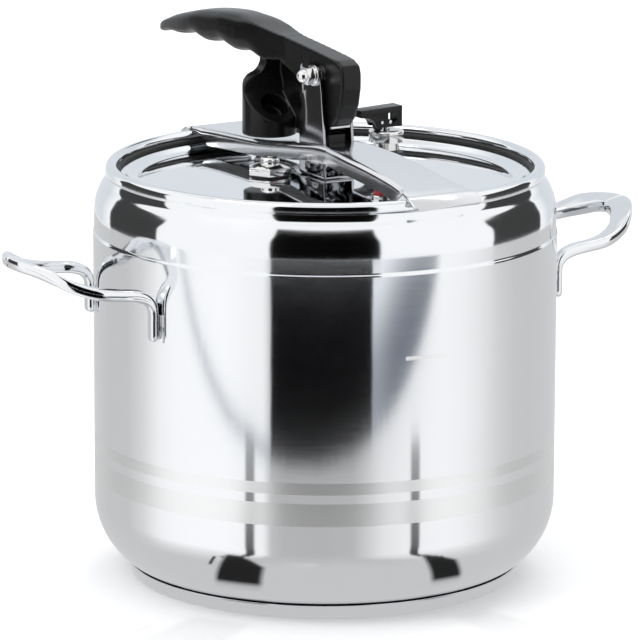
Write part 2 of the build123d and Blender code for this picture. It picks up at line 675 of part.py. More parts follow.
with BuildPart() as burst_plug:
    with Locations((plug_x, plug_y, lid_top - lid_t - 2.2)):
        Cylinder(2.05, 6.6, align=(Align.CENTER, Align.CENTER, Align.MIN))
    with Locations((plug_x, plug_y, lid_top + 1.1)):
        Cylinder(3.6, 2.4, align=(Align.CENTER, Align.CENTER, Align.MIN))
    fillet(burst_plug.edges().group_by(Axis.Z)[-1], 0.9)
burst_plug.part.label = "burst_plug"
export_step(burst_plug.part, "parts/burst_plug.step")
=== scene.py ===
from math import atan2, cos, degrees, hypot, pi, radians, sin

import bmesh
import bpy
import numpy as np
from mathutils import Matrix, Vector


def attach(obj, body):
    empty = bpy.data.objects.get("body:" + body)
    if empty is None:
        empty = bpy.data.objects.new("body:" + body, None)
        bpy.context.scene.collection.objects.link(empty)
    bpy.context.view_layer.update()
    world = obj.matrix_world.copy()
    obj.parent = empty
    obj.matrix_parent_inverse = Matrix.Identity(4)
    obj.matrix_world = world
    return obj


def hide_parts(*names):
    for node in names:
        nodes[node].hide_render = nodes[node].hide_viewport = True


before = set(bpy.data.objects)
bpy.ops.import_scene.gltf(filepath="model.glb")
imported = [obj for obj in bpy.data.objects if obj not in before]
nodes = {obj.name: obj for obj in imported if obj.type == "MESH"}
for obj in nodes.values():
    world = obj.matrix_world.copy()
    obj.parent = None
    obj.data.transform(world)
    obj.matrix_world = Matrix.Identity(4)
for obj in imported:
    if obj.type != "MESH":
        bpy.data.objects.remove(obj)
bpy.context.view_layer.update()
MM = 0.001

# ------------------------------------------------------------------ sizes, in millimetres

WALL_R = 110.0
SHEET = 0.8
CORNER_R = 37.4
CORNER_Z = 38.0
HEEL_R = 15.2
HEEL_X = 85.8
FLOOR_Z = 5.0
STEP_Z = 166.0
UPPER_R = 109.5
COLLAR_R = 104.0
RIM_Z = 195.5
RIM_ROLL = 2.9
LEG_Y = 35.0
BAR_W = 6.0
BAR_T = 3.8
LEG_X = 107.0
LEG_FOOT = 129.0
WELD_PAD_T = 0.9
HANDLE_TURN = -3.65
LID_TOP = 191.5

VIEW_TURN = radians(31.0)          # the camera stands this far round from -Y towards -X
CAMERA_DISTANCE = 2291.9
CAMERA_HEIGHT = 642.6
CAMERA_PAN, CAMERA_PITCH, CAMERA_ROLL = -0.058, 12.82, 0.18
CAMERA_LENS = 277.68

WIDE_BAND = (0.0488, 0.0595)       # heights of the two matt bands, metres
NARROW_BAND = (0.0638, 0.0692)
LEVEL_BAR = (0.1258, 0.1275)       # heights of the plain level line, metres
LEVEL_BAR_SIDES = (0.0370, 0.0576)   # its ends, measured across the camera's view


# ------------------------------------------------------------------ mesh helpers


def make_object(name, verts, faces, sharp=35.0):
    mesh = bpy.data.meshes.new(name)
    mesh.from_pydata([(x * MM, y * MM, z * MM) for x, y, z in verts], [], faces)
    obj = bpy.data.objects.new(name, mesh)
    bpy.context.scene.collection.objects.link(obj)
    tidy_mesh(obj, sharp)
    return obj


def tidy_mesh(obj, sharp=35.0):
    bm = bmesh.new()
    bm.from_mesh(obj.data)
    bmesh.ops.recalc_face_normals(bm, faces=bm.faces)
    bm.to_mesh(obj.data)
    bm.free()
    obj.data.shade_smooth()
    obj.data.set_sharp_from_angle(angle=radians(sharp))


def apply_modifiers(obj):
    graph = bpy.context.evaluated_depsgraph_get()
    done = bpy.data.meshes.new_from_object(obj.evaluated_get(graph))
    obj.modifiers.clear()
    obj.data = done


def arc(cx, cz, r, start, end, steps):
    angles = [radians(start + (end - start) * i / steps) for i in range(steps + 1)]
    return [(cx + r * cos(a), cz + r * sin(a)) for a in angles]


def through(points, steps=8):
    """A smooth curve through the points, with `steps` spans between neighbours."""
    p = [np.array(q, float) for q in points]
    p = [2 * p[0] - p[1]] + p + [2 * p[-1] - p[-2]]
    out = []
    for i in range(1, len(p) - 2):
        for k in range(steps):
            t = k / steps
            out.append(0.5 * (2 * p[i] + (p[i + 1] - p[i - 1]) * t
                              + (2 * p[i - 1] - 5 * p[i] + 4 * p[i + 1] - p[i + 2]) * t ** 2
                              + (3 * p[i] - p[i - 1] - 3 * p[i + 1] + p[i + 2]) * t ** 3))
    out.append(p[-2])
    return [tuple(q) for q in out]


def rounded(points, r, steps=3):
    """The closed outline with each corner cut back to a small arc-like bend."""
    out = []
    n = len(points)
    for i in range(n):
        a, b, c = (np.array(points[(i + k) % n], float) for k in (-1, 0, 1))
        to_a = (a - b) / np.linalg.norm(a - b)
        to_c = (c - b) / np.linalg.norm(c - b)
        cut = min(r, 0.45 * np.linalg.norm(a - b), 0.45 * np.linalg.norm(c - b))
        p0, p2 = b + to_a * cut, b + to_c * cut
        for k in range(steps + 1):
            t = k / steps
            out.append(tuple((1 - t) ** 2 * p0 + 2 * t * (1 - t) * b + t ** 2 * p2))
    return out


def lathe(name, profile, segments, closed=True, centre=(0.0, 0.0), sharp=35.0):
    """Turns (radius, z) points round the vertical axis at centre; a point at radius 0 is a pole."""
    verts, rings = [], []
    for r, z in profile:
        if r < 1e-6:
            rings.append([len(verts)] * segments)
            verts.append((centre[0], centre[1], z))
            continue
        rings.append(list(range(len(verts), len(verts) + segments)))
        for s in range(segments):
            a = 2 * pi * s / segments
            verts.append((centre[0] + r * cos(a), centre[1] + r * sin(a), z))
    faces = []
    pairs = list(zip(rings[:-1], rings[1:])) + ([(rings[-1], rings[0])] if closed else [])
    for lower, upper in pairs:
        for s in range(segments):
            quad = [lower[s], lower[(s + 1) % segments], upper[(s + 1) % segments], upper[s]]
            face = [v for i, v in enumerate(quad) if v not in quad[:i]]
            if len(face) > 2:
                faces.append(face)
    return make_object(name, verts, faces, sharp)


def loft(name, rings, sharp=35.0):
    """Skins closed rings of equal length and caps both ends."""
    verts = [v for ring in rings for v in ring]
    n = len(rings[0])
    faces = []
    for i in range(len(rings) - 1):
        for k in range(n):
            faces.append([i * n + k, i * n + (k + 1) % n, (i + 1) * n + (k + 1) % n, (i + 1) * n + k])
    faces.append(list(range(n)))
    faces.append([(len(rings) - 1) * n + k for k in range(n)])
    return make_object(name, verts, faces, sharp)


def soften(name, node, width=0.25, segments=2):
    """A copy of a CAD piece with its sharp edges rounded off."""
    mesh = nodes[node].data.copy()
    mesh.materials.clear()
    obj = bpy.data.objects.new(name, mesh)
    bpy.context.scene.collection.objects.link(obj)
    bm = bmesh.new()
    bm.from_mesh(mesh)
    bmesh.ops.remove_doubles(bm, verts=bm.verts, dist=1e-6)
    bmesh.ops.dissolve_limit(bm, angle_limit=radians(0.6), verts=bm.verts, edges=bm.edges)
    bm.to_mesh(mesh)
    bm.free()
    bevel = obj.modifiers.new("edge", "BEVEL")
    bevel.width = width * MM
    bevel.segments = segments
    bevel.limit_method = "ANGLE"
    bevel.angle_limit = radians(38)
    apply_modifiers(obj)
    bm = bmesh.new()
    bm.from_mesh(obj.data)
    bmesh.ops.triangulate(bm, faces=[f for f in bm.faces if len(f.verts) > 4])
    bm.to_mesh(obj.data)
    bm.free()
    tidy_mesh(obj, 30.0)
    return obj


def settle(obj, body, slot, material, *replaced):
    """Dresses a finished piece and hangs it on its body."""
    obj.data.materials.clear()
    obj.data.materials.append(material)
    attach(obj, body)
    if replaced:
        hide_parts(*replaced)
    return obj


# ------------------------------------------------------------------ materials


class Nodes:
    """A material's node tree, with short calls for what the finishes share."""

    def __init__(self, name):
        self.material = bpy.data.materials.new(name)
        self.material.use_nodes = True
        self.tree = self.material.node_tree
        self.shader = self.tree.nodes["Principled BSDF"]
        self.coords = self.tree.nodes.new("ShaderNodeTexCoord").outputs["Object"]

    def link(self, source, target):
        self.tree.links.new(source, target)

    def add(self, kind, **settings):
        node = self.tree.nodes.new(kind)
        for key, value in settings.items():
            setattr(node, key, value)
        return node

    def put(self, **values):
        for key, value in values.items():
            self.shader.inputs[key.replace("_", " ")].default_value = value

    def noise(self, scale, stretch=(1, 1, 1), detail=3.0, rough=0.55):
        mapping = self.add("ShaderNodeMapping")
        mapping.inputs["Scale"].default_value = stretch
        self.link(self.coords, mapping.inputs["Vector"])
        node = self.add("ShaderNodeTexNoise")
        node.inputs["Scale"].default_value = scale
        node.inputs["Detail"].default_value = detail
        node.inputs["Roughness"].default_value = rough
        self.link(mapping.outputs[0], node.inputs["Vector"])
        return node.outputs["Fac"]

    def remap(self, source, low, high, start=0.0, end=1.0):
        node = self.add("ShaderNodeMapRange")
        for i, value in enumerate((start, end, low, high)):
            node.inputs[i + 1].default_value = value
        self.link(source, node.inputs[0])
        return node.outputs[0]

    def maths(self, operation, a, b):
        node = self.add("ShaderNodeMath", operation=operation)
        for i, value in enumerate((a, b)):
            if isinstance(value, (int, float)):
                node.inputs[i].default_value = value
            else:
                self.link(value, node.inputs[i])
        return node.outputs[0]

    def blend(self, factor, a, b):
        """Mixes two colours, or a colour and a socket, by a socket."""
        node = self.add("ShaderNodeMix", data_type="RGBA")
        self.link(factor, node.inputs["Factor"])
        for socket, value in (("A", a), ("B", b)):
            target = [s for s in node.inputs if s.name == socket and s.type == "RGBA"][0]
            if isinstance(value, tuple):
                target.default_value = (*value, 1.0)
            else:
                self.link(value, target)
        return [s for s in node.outputs if s.type == "RGBA"][0]

    def inside(self, value, low, high, soft):
        """1 where value lies between low and high, with soft edges."""
        rise = self.remap(value, 0.0, 1.0, low - soft, low + soft)
        fall = self.remap(value, 1.0, 0.0, high - soft, high + soft)
        return self.maths("MULTIPLY", rise, fall)

    def bump(self, height, strength, distance):
        node = self.add("ShaderNodeBump")
        node.inputs["Strength"].default_value = strength
        node.inputs["Distance"].default_value = distance
        self.link(height, node.inputs["Height"])
        self.link(node.outputs[0], self.shader.inputs["Normal"])


def steel(name, colour, rough, stretch, grain, aniso=0.0, tint=0.04):
    """Bright metal: fine grain along one direction, with faint cloudy polish marks."""
    m = Nodes(name)
    m.put(Metallic=1.0)
    fine = m.noise(1.0, stretch, 2.0)
    cloud = m.noise(28.0, detail=4.0)
    darker = tuple(c * (1.0 - tint) for c in colour)
    m.link(m.blend(cloud, darker, colour), m.shader.inputs["Base Color"])
    grainy = m.remap(fine, -0.35 * rough, 0.35 * rough)
    cloudy = m.remap(cloud, 0.85 * rough, 1.15 * rough)
    spread = m.maths("ADD", grainy, cloudy)
    m.link(spread, m.shader.inputs["Roughness"])
    if grain:
        m.bump(fine, grain, 0.00002)
    if aniso:
        m.put(Anisotropic=aniso, Anisotropic_Rotation=0.25)
        tangent = m.add("ShaderNodeTangent", direction_type="RADIAL", axis="Z")
        m.link(tangent.outputs[0], m.shader.inputs["Tangent"])
    return m, spread


def pot_steel():
    """Wall finish: fine brushing round the pot, two matt bands and a plain level bar."""
    m, spread = steel("pot_steel", (0.83, 0.845, 0.865), 0.085, (30, 30, 5200), 0.10, aniso=0.65)
    place = m.add("ShaderNodeSeparateXYZ")
    m.link(m.coords, place.inputs[0])
    x, y, z = place.outputs
    edge = 0.00012
    wide = m.inside(z, *WIDE_BAND, edge)
    narrow = m.inside(z, *NARROW_BAND, edge)
    c, s = cos(VIEW_TURN), sin(VIEW_TURN)
    across = m.maths("ADD", m.maths("MULTIPLY", x, c), m.maths("MULTIPLY", y, -s))
    towards = m.maths("ADD", m.maths("MULTIPLY", x, -s), m.maths("MULTIPLY", y, -c))
    bar = m.maths("MULTIPLY", m.inside(z, *LEVEL_BAR, edge), m.inside(across, *LEVEL_BAR_SIDES, edge))
    bar = m.maths("MULTIPLY", bar, m.remap(towards, 0.0, 1.0, 0.0, 0.001))
    matt = m.maths("MAXIMUM", m.maths("MAXIMUM", wide, narrow), bar)
    rough = m.maths("ADD", spread, m.maths("MULTIPLY", matt, 0.24))
    m.link(rough, m.shader.inputs["Roughness"])
    source = m.shader.inputs["Base Color"].links[0].from_socket
    m.link(m.blend(matt, source, (0.83, 0.835, 0.84)), m.shader.inputs["Base Color"])
    return m.material


def moulded(name, colour, rough, specular, scale=2600.0, bump=0.12):
    """Moulded black plastic or rubber: fine orange-peel, with a painted highlight that lightens the sharp
    edges.
    """
    m = Nodes(name)
    skin = m.noise(scale, detail=2.0)
    cloud = m.noise(70.0, detail=5.0)
    # painted highlight: the base colour is lightened along sharp edges, found by pointiness
    edge = m.add("ShaderNodeNewGeometry").outputs["Pointiness"]
    edge_highlight_mask = m.remap(edge, 0.0, 1.0, 0.515, 0.58)
    edge_highlight_colour = tuple(min(1.0, c * 1.8 + 0.001) for c in colour)
    m.link(m.blend(edge_highlight_mask, colour, edge_highlight_colour), m.shader.inputs["Base Color"])
    spread = m.maths("ADD", m.remap(cloud, rough - 0.05, rough + 0.06), m.remap(skin, -0.03, 0.03))
    m.link(spread, m.shader.inputs["Roughness"])
    m.put(Specular_IOR_Level=specular)
    m.bump(skin, bump, 0.00004)
    return m.material


MATERIALS = {
    "pot": pot_steel(),
    "bar": steel("handle_steel", (0.82, 0.83, 0.85), 0.07, (300, 300, 300), 0.05)[0].material,
    "lid": steel("lid_mirror", (0.86, 0.88, 0.90), 0.045, (900, 900, 20), 0.03)[0].material,
    "spring": steel("spring_steel", (0.74, 0.75, 0.77), 0.14, (2600, 60, 60), 0.10)[0].material,
    "valve": steel("valve_steel", (0.80, 0.80, 0.79), 0.16, (60, 60, 4200), 0.25)[0].material,
    "bright": steel("bright_plate", (0.80, 0.80, 0.80), 0.12, (900, 900, 900), 0.10)[0].material,
    # painted reflection: the yoke finish is steel given a dark base colour, standing in for the dark
    # reflections on the fork ears
    "yoke": steel("yoke_steel_painted_dark", (0.40, 0.40, 0.42), 0.10, (60, 60, 2600), 0.08)[0].material,
    "core": steel("cast_aluminium", (0.76, 0.77, 0.78), 0.34, (1500, 1500, 1500), 0.35)[0].material,
    "black": moulded("black_phenolic", (0.0042, 0.0042, 0.0046), 0.26, 0.27),
    "rubber": moulded("black_rubber", (0.012, 0.012, 0.012), 0.52, 0.35, scale=1800.0),
    "red": moulded("red_silicone", (0.50, 0.012, 0.025), 0.38, 0.5, scale=1500.0),
}

# ------------------------------------------------------------------ pot


def pot_profile():
    """Outside of the pot from the middle of the floor up to the rim, then down inside."""
    corner_x = WALL_R - CORNER_R
    tilt = -53.4
    outside = [(0, FLOOR_Z), (40, FLOOR_Z), (HEEL_X - 4, FLOOR_Z)]
    outside += arc(HEEL_X, FLOOR_Z + HEEL_R, HEEL_R, -90, tilt, 10)
    outside += arc(corner_x, CORNER_Z, CORNER_R, tilt, 0, 28)
    outside += [(WALL_R, z) for z in list(np.linspace(42, STEP_Z - 3, 22)) + [STEP_Z - 0.8, STEP_Z - 0.2]]
    outside += [(WALL_R - 0.05, STEP_Z + 0.05), (UPPER_R + 0.05, STEP_Z + 0.4)]
    outside += [(UPPER_R, z) for z in (STEP_Z + 0.6, STEP_Z + 1.2, 170.0, 173.0)]
    shoulder = [(UPPER_R, 176.0), (109.1, 179.6), (108.3, 183.0), (106.4, 187.3), (104.7, 190.2)]
    outside += through(shoulder + [(COLLAR_R, 192.6), (COLLAR_R, 194.0)], 6)
    outside += arc(COLLAR_R - RIM_ROLL, RIM_Z, RIM_ROLL, 0, 180, 22)
    inside = arc(COLLAR_R - RIM_ROLL, RIM_Z, RIM_ROLL - SHEET, 180, 0, 14)
    wall_in = WALL_R - SHEET
    shoulder_in = [(COLLAR_R - SHEET, 193.6), (COLLAR_R - SHEET, 192.2), (103.8, 189.8), (105.7, 186.8)]
    shoulder_in += [(107.5, 182.7), (UPPER_R - SHEET, 176.0), (UPPER_R - SHEET, STEP_Z + 1.0)]
    inside += through(shoulder_in, 5)
    inside += [(wall_in, STEP_Z - 0.2), (wall_in, 120.0), (wall_in, 60.0)]
    inside += arc(corner_x, CORNER_Z, CORNER_R - SHEET, 0, tilt, 18)
    inside += arc(HEEL_X, FLOOR_Z + HEEL_R, HEEL_R - SHEET, tilt, -90, 8)
    inside += [(40, FLOOR_Z + SHEET), (0, FLOOR_Z + SHEET)]
    return outside + inside


pot = lathe("pot_shell", pot_profile(), 288, closed=False, sharp=40.0)
settle(pot, "pot", "polished_steel", MATERIALS["pot"], "pot_body")

cap_profile = [(0, 0), (60, 0), (90.6, 0), (91.4, 0.05)] + arc(91.4, 1.5, 1.45, -80, -12, 7)
cap_profile += [(93.3, 3.0), (94.1, 5.2), (94.5, 6.4), (94.45, 6.7), (94.2, 6.8), (93.8, 6.75)]
cap_profile += [(93.1, 4.4), (92.2, 1.7), (91.6, 0.85), (60, 0.8), (0, 0.8)]
cap = lathe("base_cup", cap_profile, 256, closed=False, sharp=50.0)
settle(cap, "pot", "polished_steel", MATERIALS["bar"], "base_cap")


def bar_ring(upper_out, upper_in, lower_in, lower_out, corner=1.6, steps=4):
    """A rounded section spanned by its four corners."""
    p = [np.array(q, float) for q in (upper_out, upper_in, lower_in, lower_out)]
    ring = []
    for i in range(4):
        a, b, c = p[i - 1], p[i], p[(i + 1) % 4]
        to_a, to_c = (a - b), (c - b)
        la, lc = np.linalg.norm(to_a), np.linalg.norm(to_c)
        ra, rc = min(corner, 0.46 * la) / la, min(corner, 0.46 * lc) / lc
        e1, e2 = to_a * ra, to_c * rc
        for k in range(steps + 1):
            t = (pi / 2) * k / steps
            ring.append(tuple(b + e1 + e2 - e1 * sin(t) - e2 * cos(t)))
    return ring


def handle_rings():
    """Sections along the bent bar, from one foot over the loop to the other foot."""
    half = LEG_Y + BAR_W / 2
    inner = half - BAR_W
    h = BAR_T / 2
    upper = through([(LEG_X - h, 138.0), (LEG_X - h, 143.0), (106.2, 147.8), (109.4, 151.4), (113.8, 153.4),
                     (119.0, 154.3), (127.0, 155.2)], 6)
    lower = through([(LEG_X + h, 138.0), (LEG_X + h, 142.4), (109.9, 145.0), (112.3, 147.0), (115.9, 148.3),
                     (120.0, 149.0), (127.0, 149.9)], 6)
    leg = []
    for lift, shrink in ((0.0, 1.3), (0.25, 0.75), (0.8, 0.25), (1.6, 0.0)):
        leg.append((LEG_FOOT + lift, shrink))
    rings = []
    for z, s in leg + [(132.0, 0.0), (135.0, 0.0)]:
        rings.append(bar_ring((LEG_X - h + s, half - s, z), (LEG_X - h + s, inner + s, z),
                              (LEG_X + h - s, inner + s, z), (LEG_X + h - s, half - s, z)))
    for (xu, zu), (xl, zl) in zip(upper, lower):
        if xu > 121.0:
            break
        wide = 0.4 * np.clip((xu - 106.0) / 12.0, 0.0, 1.0)
        rings.append(bar_ring((xu, half + wide, zu), (xu, inner - wide, zu), (xl, inner - wide, zl),
                              (xl, half + wide, zl)))
    top = np.array(through([(119.0, 154.3), (134.0, 156.1), (145.0, 159.7), (155.0, 165.5),
                            (165.5, 167.9)], 12))
    low = np.array(through([(120.0, 149.0), (135.2, 150.9), (146.8, 154.6), (157.0, 160.3),
                            (165.5, 162.4)], 12))
    outer = through([(122.0, half + 0.4), (135.0, 37.0), (146.0, 31.9), (153.5, 25.1), (159.0, 17.0),
                     (163.0, 8.6), (164.3, 0.0), (163.0, -8.6)], 8)[:-8]
    inside = through([(122.0, inner - 0.4), (130.0, 29.4), (138.0, 25.0), (144.6, 19.3), (149.6, 12.2),
                      (152.8, 6.0), (153.8, 0.0), (152.8, -6.0)], 8)[:-8]
    for (xo, yo), (xi, yi) in zip(outer, inside):
        zo, zi = np.interp((xo, xi), top[:, 0], top[:, 1])
        lo, li = np.interp((xo, xi), low[:, 0], low[:, 1])
        rings.append(bar_ring((xo, yo, zo), (xi, yi, zi), (xi, yi, li), (xo, yo, lo)))
    rings = rings[:-1]
    mirrored = [[(x, -y, z) for x, y, z in reversed(ring)] for ring in reversed(rings)]
    count = len(rings[0])
    shift = min(range(count), key=lambda s: sum(
        (Vector(rings[-1][k]) - Vector(mirrored[0][(k + s) % count])).length for k in range(count)))
    mirrored = [ring[shift:] + ring[:shift] for ring in mirrored]
    return rings + mirrored


def make_handle(name, turn, node):
    spin = radians(turn)
    rings = []
    for ring in handle_rings():
        placed = []
        for x, y, z in ring:
            px, py = x * cos(spin) - y * sin(spin), x * sin(spin) + y * cos(spin)
            out = max(1.0, (WALL_R + WELD_PAD_T) / hypot(px, py))
            placed.append((px * out, py * out, z))
        rings.append(placed)
    obj = loft(name, rings, sharp=60.0)
    return settle(obj, "pot", "polished_steel", MATERIALS["bar"], node)


make_handle("side_handle_right", HANDLE_TURN, "handle_right")
make_handle("side_handle_left", HANDLE_TURN + 180.0, "handle_left")
settle(soften("weld_feet", "weld_pads", 0.2), "pot", "polished_steel", MATERIALS["bar"], "weld_pads")

# ------------------------------------------------------------------ lid and its gasket

LID_CROWN = 1.8                    # how far the crowned lid falls from its middle to r = 90


def lid_top_at(r):
    return LID_TOP - LID_CROWN * (r / 90.0) ** 2


lid_profile = [(r, lid_top_at(r)) for r in np.linspace(0, 88, 23)]
lid_profile += through([(89.5, lid_top_at(89)), (92.5, LID_TOP - 0.9), (95, LID_TOP + 0.7),
                        (96.5, LID_TOP + 1.1)], 5)
lid_profile += [(98.5, LID_TOP + 1.1), (100.2, LID_TOP + 1.1), (100.2, LID_TOP - 0.1)]
lid_profile += [(96.8, LID_TOP - 0.1)]
lid_profile += [(95.2, LID_TOP - 0.6), (93, LID_TOP - 2.0), (90, LID_TOP - 2.9)]
lid_profile += [(r, lid_top_at(r) - 1.2) for r in np.linspace(85, 0, 12)]
lid = lathe("lid_plate", lid_profile, 256, closed=False)
settle(lid, "lid", "lid_steel", MATERIALS["lid"], "lid_disc")

seal = [(98.4, 195.2), (102.3, 195.2), (102.9, 194.4), (102.9, 189.7), (102.2, 188.9), (98.2, 188.9)]
seal += [(97.0, 189.8), (97.0, LID_TOP - 0.14), (100.3, LID_TOP - 0.14), (100.3, LID_TOP + 1.14)]
seal += [(97.0, LID_TOP + 1.14), (97.0, 194.0)]
gasket = lathe("lid_seal", rounded(seal, 0.5), 224, sharp=60.0)
settle(gasket, "lid", "black_rubber", MATERIALS["rubber"], "lid_gasket")

# ------------------------------------------------------------------ bridge

BRIDGE_Y = [-101.0, -95.0, -80.0, -60.0, -40.0, -15.0, 10.0, 33.0, 45.0, 62.0, 80.0, 101.0]
BRIDGE_Z = [200.2, 201.5, 203.9, 206.4, 208.0, 209.0, 206.3, 203.9, 203.0, 202.1, 201.1, 200.1]
BRIDGE_T = 1.4
FLANGE = 8.0
FILLET = 2.6
EAR_MID = 7.7                      # middle of each fork ear, across the bridge
SLOT_Y = -1.0


def bridge_top(y):
    curve = np.array(through(list(zip(BRIDGE_Y, BRIDGE_Z)), 10))
    return float(np.interp(y, curve[:, 0], curve[:, 1]))


def bridge_half(y):
    a = abs(y)
    plan = np.array(through([(20.0, 12.5), (42.0, 14.4), (80.0, 14.8), (101.0, 17.0)], 10))
    return float(np.interp(a, plan[:, 0], plan[:, 1]))


def bridge_ring(y):
    """One section of the channel: outer face over and inner face back."""
    z, w = bridge_top(y), bridge_half(y)
    fade = np.interp(abs(y), (86.0, 94.0), (1.0, 0.0))
    drop = BRIDGE_T + 0.3 + (FLANGE - BRIDGE_T - 0.3) * fade
    r = min(FILLET, drop - 0.2)
    outer = [(w, z - drop), (w, z - (drop + r) / 2)]
    outer += [(w - r + r * cos(a), z - r + r * sin(a)) for a in np.linspace(0, pi / 2, 8)]
    outer += [(w * k, z) for k in (0.5, 0.0)]
    outer += [(-x, q) for x, q in reversed(outer[:-1])]
    ri = max(0.3, r - BRIDGE_T)
    wi = w - BRIDGE_T
    inner = [(-wi, z - drop), (-wi, z - (drop + r) / 2 - 0.3)]
    zi = z - BRIDGE_T
    inner += [(-wi + ri - ri * cos(a), zi - ri + ri * sin(a)) for a in np.linspace(0, pi / 2, 6)]
    inner += [(0.0, zi)]
    inner += [(-x, q) for x, q in reversed(inner[:-1])]
    return [(x, y, q) for x, q in outer + inner]


def bridge_piece():
    stations = sorted(set([-101.0, 101.0] + list(np.linspace(-100, 100, 121))))
    body = loft("bridge_spring", [bridge_ring(y) for y in stations], sharp=50.0)
    cutters = []
    for side in (1, -1):
        corners = ((-1.0, -12.0), (1.0, -12.0), (1.0, 12.0), (-1.0, 12.0))
        slot = [(side * (EAR_MID + dx), SLOT_Y + dy) for dx, dy in corners]
        cutters.append(loft(f"slot_{side + 1}", [[(x, y, z) for x, y in slot] for z in (190.0, 222.0)]))
    for cutter in cutters:
        cut = body.modifiers.new("slot", "BOOLEAN")
        cut.operation = "DIFFERENCE"
        cut.solver = "EXACT"
        cut.object = cutter
    apply_modifiers(body)
    for cutter in cutters:
        bpy.data.objects.remove(cutter)
    return body


def lip_rings(end):
    """The turned-down end of the bridge, resting over the rim."""
    path = through([(99.6, 199.5), (101.2, 199.4), (103.2, 198.9), (106.0, 197.4), (109.3, 195.25)], 5)
    rings = []
    for i, (y, z) in enumerate(path):
        t = i / (len(path) - 1)
        w = 17.0 + 1.2 * min(1.0, 2.5 * t) - 1.6 * max(0.0, (t - 0.8) / 0.2) ** 2
        section = rounded([(-w, -0.65), (w, -0.65), (w, 0.65), (-w, 0.65)], 0.5)
        slope = 0.55 * t
        rings.append([(x, end * (y + q * sin(slope)), z + q * cos(slope)) for x, q in section])
    return rings


bridge = bridge_piece()
settle(bridge, "bridge_frame", "spring_steel", MATERIALS["spring"], "bridge")
for index, end in enumerate((-1, 1)):
    lip = loft(f"bridge_lip_{index}", lip_rings(end), sharp=50.0)
    settle(lip, "bridge_frame", "spring_steel", MATERIALS["spring"])

settle(soften("cam_pad", "wear_pad", 0.4), "bridge_frame", "black_phenolic", MATERIALS["black"], "wear_pad")

# ------------------------------------------------------------------ lever


def round_grip(obj):
    """Turns the grip's square section into a rounded one, fading in along the neck."""
    count = len(obj.data.vertices)
    co = np.zeros(count * 3)
    obj.data.vertices.foreach_get("co", co)
    co = co.reshape(-1, 3) / MM
    top = np.array(through([(30, 254), (48, 256.4), (62, 258.6), (75, 259.2), (90, 258.3), (105, 256.5),
                            (120, 253.4), (136, 249.2), (145, 246.2), (153.5, 242.6), (156, 239.8)], 6))
    low = np.array(through([(30, 243), (41, 241), (49, 241.2), (58.5, 242.9), (68, 241.2), (76.5, 241.6),
                            (85, 243.6), (94.5, 242), (103, 241.8), (112.5, 243.8), (123, 241.8),
                            (133, 241), (143, 240.6), (151, 238.9), (156, 238.2)], 6))
    plan = np.array(through([(29, 5.5), (44, 7.6), (62, 9.8), (90, 10.6), (120, 10), (140, 8.2), (152, 4.6),
                             (155.8, 0.4)], 6))
    x, y, z = co.T
    zt, zl = np.interp(y, top[:, 0], top[:, 1]), np.interp(y, low[:, 0], low[:, 1])
    w = np.maximum(np.interp(y, plan[:, 0], plan[:, 1]), 0.5)
    half = np.maximum((zt - zl) / 2, 0.5)
    mid = (zt + zl) / 2
    u, v = x / w, (z - mid) / half
    square = np.maximum(np.abs(u), np.abs(v))
    power = 3.2
    norm = (np.abs(u) ** power + np.abs(v) ** power) ** (1 / power) + 1e-9
    scale = square / norm
    fade = np.clip((y - 46.0) / 22.0, 0, 1) * (z > 232.0)
    k = 1 + (scale - 1) * fade
    co[:, 0] = x * k
    co[:, 2] = np.where(fade > 0, mid + (z - mid) * k, z)
    obj.data.vertices.foreach_set("co", (co * MM).ravel())
    obj.data.update()


def lever_piece():
    """The moulded lever: one skin over the CAD solid, with soft edges."""
    mesh = nodes["lever"].data.copy()
    mesh.materials.clear()
    obj = bpy.data.objects.new("lever_handle", mesh)
    bpy.context.scene.collection.objects.link(obj)
    remesh = obj.modifiers.new("skin", "REMESH")
    remesh.mode = "VOXEL"
    remesh.voxel_size = 0.5 * MM
    smooth = obj.modifiers.new("soft", "SMOOTH")
    smooth.factor = 0.5
    smooth.iterations = 6
    apply_modifiers(obj)
    round_grip(obj)
    relax = obj.modifiers.new("relax", "SMOOTH")
    relax.factor = 0.4
    relax.iterations = 3
    apply_modifiers(obj)
    obj.data.shade_smooth()
    return obj


lever = lever_piece()
settle(lever, "lever", "black_phenolic", MATERIALS["black"], "lever")
settle(soften("cam_shoe", "cam_plate", 0.2), "lever", "spring_steel", MATERIALS["spring"], "cam_plate")

# ------------------------------------------------------------------ fork, fasteners and valves

